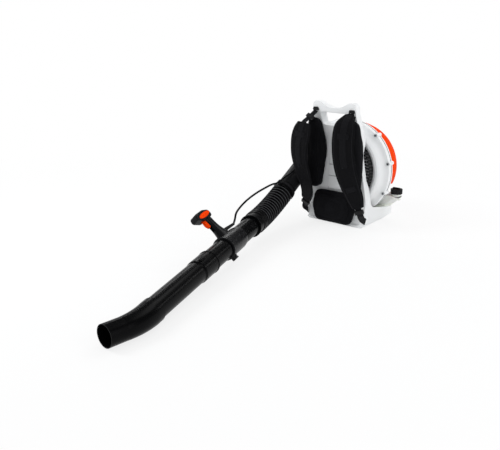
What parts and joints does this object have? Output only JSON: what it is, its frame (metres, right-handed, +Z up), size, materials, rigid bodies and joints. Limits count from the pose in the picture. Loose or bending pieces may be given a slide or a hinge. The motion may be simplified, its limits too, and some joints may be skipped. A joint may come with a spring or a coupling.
{
  "type": "backpack leaf blower",
  "caption": "Backpack leaf blower with padded harness, petrol engine and fan unit, ribbed hose, and blower tube with control handle and curved nozzle.",
  "frame": {"origin": "on the floor, at the front edge of the base that the machine stands on, midway between its sides", "axes": "+Z up; -Y towards the operator's back and the nozzle; +X towards the operator's left"},
  "size_m": [0.4281, 1.637, 0.512],
  "materials": {
    "white_shell": "satin moulded",
    "orange_shell": "satin moulded",
    "black_plastic": "fine grain",
    "tube_plastic": "satin",
    "hose_rubber": "semi-matt",
    "soft_rubber": "matt",
    "pad_fabric": "mesh cloth",
    "strap_fabric": "woven",
    "tank_plastic": "translucent moulded",
    "cast_alloy": "as cast",
    "steel": "plain",
    "spring_steel": "blued",
    "filter_foam": "open foam",
    "cable_jacket": "smooth"
  },
  "bodies": {
    "machine": {"backplate": "white_shell", "av_buffers": "soft_rubber", "back_pad_left": "pad_fabric", "back_pad_right": "pad_fabric", "lumbar_pad": "pad_fabric", "shoulder_strap_left": "strap_fabric", "shoulder_strap_right": "strap_fabric", "strap_webbing": "strap_fabric", "strap_buckles": "black_plastic", "strap_hooks": "black_plastic", "fan_housing_front": "white_shell", "fan_housing_rear": "white_shell", "housing_screws": "steel", "intake_grille": "black_plastic", "crank_bearings": "steel", "crankcase": "cast_alloy", "engine_cylinder": "cast_alloy", "muffler": "steel", "spark_plug": "steel", "plug_boot": "soft_rubber", "ignition_module": "black_plastic", "carburetor": "cast_alloy", "filter_base": "black_plastic", "air_filter": "filter_foam", "engine_shroud": "orange_shell", "starter_cover": "black_plastic", "recoil_spring": "spring_steel", "fuel_tank": "tank_plastic", "outlet_elbow": "black_plastic", "hose_upper_cuff": "hose_rubber", "hose_clamp": "steel", "throttle_cable_1": "cable_jacket", "cable_clip": "black_plastic"},
    "rotor": {"fan_wheel": "cast_alloy", "crankshaft": "steel", "starter_cup": "steel"},
    "grip": {"starter_grip": "black_plastic", "starter_rope": "cable_jacket"},
    "pulley": {"starter_pulley": "black_plastic"},
    "cap": {"fuel_cap": "black_plastic"},
    "cover": {"filter_cover": "black_plastic"},
    "knob": {"cover_knob": "black_plastic"},
    "choke": {"choke_lever": "black_plastic"},
    "primer": {"primer_bulb": "soft_rubber"},
    "hose": {"pleated_hose": "hose_rubber", "throttle_cable_2": "cable_jacket"},
    "lower_cuff": {"wand_sleeve": "hose_rubber", "throttle_cable_3": "cable_jacket"},
    "wand": {"swivel_tube": "tube_plastic", "handle_clamp": "black_plastic", "clamp_bolt": "steel", "control_handle": "black_plastic", "head_inlay": "orange_shell", "trigger_pin": "steel", "cable_boot": "soft_rubber", "throttle_cable_4": "cable_jacket"},
    "trigger": {"throttle_trigger": "orange_shell"},
    "lever": {"setting_lever": "black_plastic"},
    "pipe": {"blower_tube": "tube_plastic"},
    "nozzle": {"curved_nozzle": "tube_plastic"}
  },
  "joints": [
    {"name": "fan_spin", "type": "hinge", "parent": "machine", "child": "rotor", "pos_m": [-0.008, 0.15, 0.224], "axis": [0, 1, 0], "continuous": true},
    {"name": "starter_pull", "type": "slide", "parent": "machine", "child": "grip", "axis": [-1, 0, 0], "range_m": [0, 0.5], "stiffness_N_per_m": 20, "springref_m": -0.2, "deforming": ["starter_rope"]},
    {"name": "pulley_turn", "type": "hinge", "parent": "machine", "child": "pulley", "pos_m": [-0.008, 0.256, 0.224], "axis": [0, 1, 0], "range_deg": [0, 655]},
    {"name": "cap_turn", "type": "hinge", "parent": "machine", "child": "cap", "pos_m": [0.18, 0.194, 0.125], "axis": [0, 0, 1], "range_deg": [0, 540]},
    {"name": "cover_off", "type": "slide", "parent": "machine", "child": "cover", "axis": [-1, 0, 0], "range_m": [0, 0.06]},
    {"name": "knob_turn", "type": "hinge", "parent": "cover", "child": "knob", "pos_m": [-0.155, 0.209, 0.306], "axis": [-1, 0, 0], "range_deg": [0, 720]},
    {"name": "choke_turn", "type": "hinge", "parent": "machine", "child": "choke", "pos_m": [-0.1024, 0.186, 0.236], "axis": [-1, 0, 0], "range_deg": [0, 65]},
    {"name": "primer_press", "type": "slide", "parent": "machine", "child": "primer", "axis": [1, 0, 0], "range_m": [0, 0.0035], "stiffness_N_per_m": 1500},
    {"name": "hose_pitch", "type": "hinge", "parent": "machine", "child": "hose", "pos_m": [-0.14956, -0.22242, 0.1145], "axis": [-0.9925, -0.1219, 0], "range_deg": [-15, 50], "deforming": ["pleated_hose", "throttle_cable_2", "throttle_cable_1"]},
    {"name": "hose_yaw", "type": "hinge", "parent": "hose", "child": "lower_cuff", "pos_m": [-0.12635, -0.33148, 0.08717], "axis": [0.036, -0.141, 0.9894], "range_deg": [-35, 35], "deforming": ["throttle_cable_3"]},
    {"name": "wand_roll", "type": "hinge", "parent": "lower_cuff", "child": "wand", "pos_m": [-0.094, -0.44403, 0.07841], "axis": [0.285, -0.9571, -0.0515], "range_deg": [-35, 35], "deforming": ["throttle_cable_4"]},
    {"name": "trigger_pull", "type": "hinge", "parent": "wand", "child": "trigger", "pos_m": [-0.12049, -0.68573, 0.15194], "axis": [0.6522, 0.1543, 0.7422], "range_deg": [0, 12], "stiffness_Nm_per_rad": 0.6, "springref_deg": -11.46},
    {"name": "lever_set", "type": "hinge", "parent": "wand", "child": "lever", "pos_m": [-0.14939, -0.65434, 0.14656], "axis": [0.6522, 0.1543, 0.7422], "range_deg": [0, 50]},
    {"name": "pipe_twist", "type": "hinge", "parent": "wand", "child": "pipe", "pos_m": [0.02458, -0.84219, 0.05698], "axis": [0.285, -0.9571, -0.0515], "range_deg": [0, 35]},
    {"name": "nozzle_twist", "type": "hinge", "parent": "pipe", "child": "nozzle", "pos_m": [0.11693, -1.1523, 0.04029], "axis": [0.285, -0.9571, -0.0515], "range_deg": [-30, 30]}
  ],
  "couplings": [
    {"joint": "pulley_turn", "follows": "starter_pull", "rad_per_m": 22.727}
  ]
}
